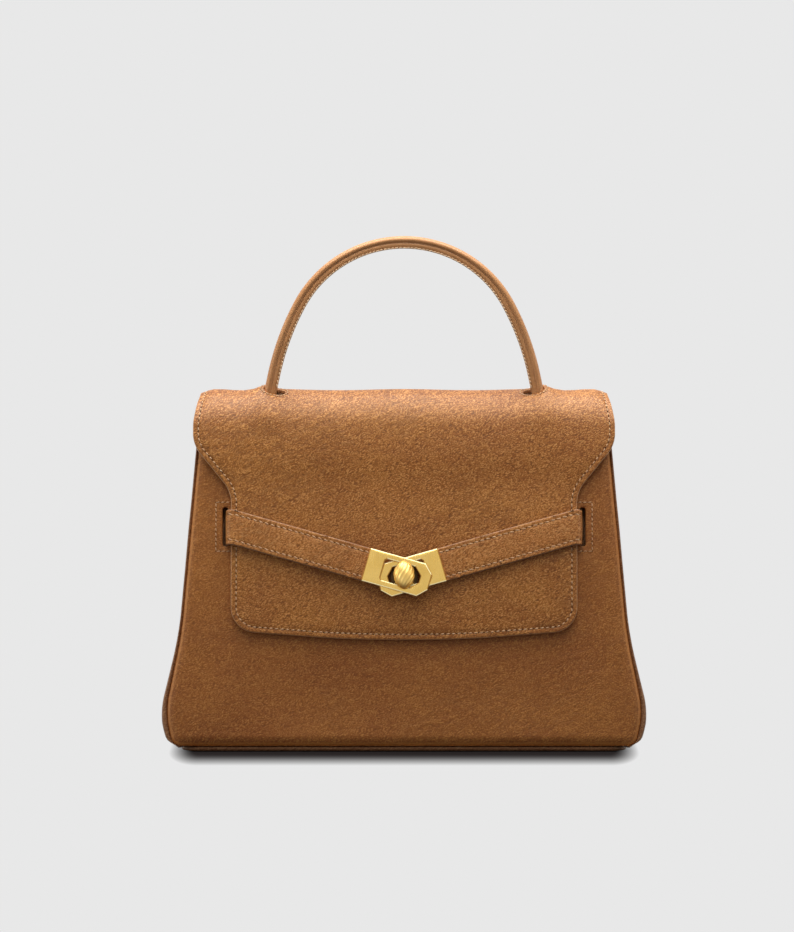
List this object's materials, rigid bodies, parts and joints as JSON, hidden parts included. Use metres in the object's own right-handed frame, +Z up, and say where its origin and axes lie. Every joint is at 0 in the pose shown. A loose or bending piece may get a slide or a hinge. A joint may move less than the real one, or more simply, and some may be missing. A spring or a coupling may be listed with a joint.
{
  "type": "top handle bag",
  "caption": "Structured leather top handle bag with leaning panels, a fold-over flap, lock straps and a turn lock.",
  "frame": {"origin": "centre of the flat face that the bag stands on", "axes": "+Z up, +X to the right across the front, -Y out of the front"},
  "size_m": [0.2882, 0.1106, 0.3052],
  "materials": {
    "body_leather": "pebbled tan calf",
    "strap_leather": "pebbled tan calf",
    "handle_leather": "smooth rolled calf",
    "lining_suede": "napped lining leather",
    "handle_cord": "twisted cotton cord",
    "stiffener_board": "pressed fibre board",
    "gilt_brass": "polished gilt",
    "spring_steel": "satin"
  },
  "bodies": {
    "bag_body": {"back_lining": "lining_suede", "back_panel": "body_leather", "base_board": "stiffener_board", "base_lining": "lining_suede", "base_panel": "body_leather", "flap_tail": "body_leather", "front_lining": "lining_suede", "front_mouth_band": "body_leather", "front_panel": "body_leather", "left_gusset": "body_leather", "left_gusset_lining": "lining_suede", "left_slot_patch": "body_leather", "left_strap_tail": "strap_leather", "lock_back_plate": "gilt_brass", "lock_base": "gilt_brass", "lock_rivets": "gilt_brass", "right_gusset": "body_leather", "right_gusset_lining": "lining_suede", "right_slot_patch": "body_leather", "right_strap_tail": "strap_leather"},
    "flap": {"flap_eyelet": "body_leather", "flap_leather": "body_leather", "flap_lining": "lining_suede", "handle_collars": "gilt_brass", "handle_core": "handle_cord", "handle_cover": "handle_leather", "handle_pins": "gilt_brass", "roof_board": "stiffener_board"},
    "lock_knob": {"knob_head": "gilt_brass", "knob_shaft": "gilt_brass", "knob_spring_washer": "spring_steel", "knob_washer": "gilt_brass"},
    "left_strap": {"left_plate": "gilt_brass", "left_plate_back": "gilt_brass", "left_plate_rivets": "gilt_brass", "left_strap": "strap_leather"},
    "right_strap": {"right_plate": "gilt_brass", "right_plate_back": "gilt_brass", "right_plate_rivets": "gilt_brass", "right_strap": "strap_leather"}
  },
  "joints": [
    {"name": "flap_hinge", "type": "hinge", "parent": "bag_body", "child": "flap", "pos_m": [0, 0.02323, 0.19421], "axis": [-1, 0, 0], "range_deg": [0, 105]},
    {"name": "left_strap_swing", "type": "hinge", "parent": "bag_body", "child": "left_strap", "pos_m": [-0.1052, -0.03287, 0.13274], "axis": [0, -0.1834, -0.983], "range_deg": [0, 110]},
    {"name": "right_strap_swing", "type": "hinge", "parent": "bag_body", "child": "right_strap", "pos_m": [0.1052, -0.03287, 0.13274], "axis": [0, 0.1834, 0.983], "range_deg": [0, 110]},
    {"name": "knob_turn", "type": "hinge", "parent": "bag_body", "child": "lock_knob", "pos_m": [0, -0.03682, 0.10286], "axis": [0, -0.983, 0.1834], "range_deg": [0, 90]}
  ]
}
